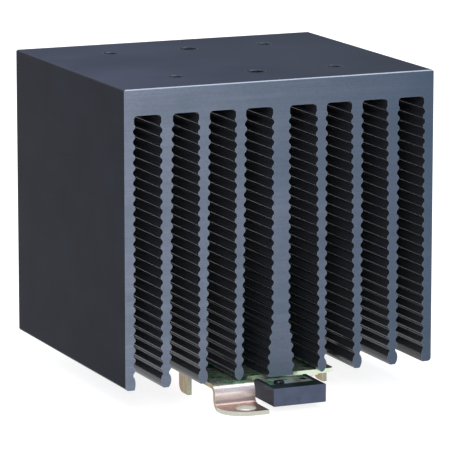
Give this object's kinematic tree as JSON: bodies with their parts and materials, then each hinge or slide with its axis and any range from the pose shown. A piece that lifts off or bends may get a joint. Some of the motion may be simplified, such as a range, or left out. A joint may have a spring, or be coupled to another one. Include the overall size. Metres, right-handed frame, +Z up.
{
  "type": "solid state relay heat sink",
  "caption": "Black extruded aluminium heat sink with ribbed fins, a flat tapped relay seat, and a chromated steel rail bracket with a sprung release latch and two panel feet.",
  "frame": {"origin": "in the panel plane, midway between the two panel feet, at the middle of the bounding box's underside", "axes": "+Z up out of the relay seat, +Y along the fins (up when the rail is on a wall, away from the latch), +X along the rail"},
  "size_m": [0.092, 0.1078, 0.0892],
  "materials": {
    "anodised_aluminium": "black anodised, satin, fine extrusion lines",
    "chromated_steel": "yellow chromate over zinc, iridescent",
    "black_handle": "black anodised, satin",
    "dark_screw": "black oxide",
    "zinc_screw": "bright zinc",
    "spring_steel": "drawn wire"
  },
  "bodies": {
    "sink": {"heat_sink_extrusion": "anodised_aluminium", "mounting_bracket": "chromated_steel", "bracket_screws": "zinc_screw", "bracket_lock_washers": "zinc_screw", "latch_guide": "chromated_steel", "guide_rivets": "zinc_screw", "spring_rod": "zinc_screw", "latch_spring": "spring_steel"},
    "latch": {"latch_strip": "chromated_steel", "latch_block": "black_handle", "latch_screw": "dark_screw", "latch_dowel": "dark_screw"}
  },
  "joints": [
    {"name": "latch_slide", "type": "slide", "parent": "sink", "child": "latch", "axis": [0, -1, 0], "range_m": [0, 0.004], "stiffness_N_per_m": 1600, "springref_m": -0.003, "deforming": ["latch_spring"]}
  ]
}
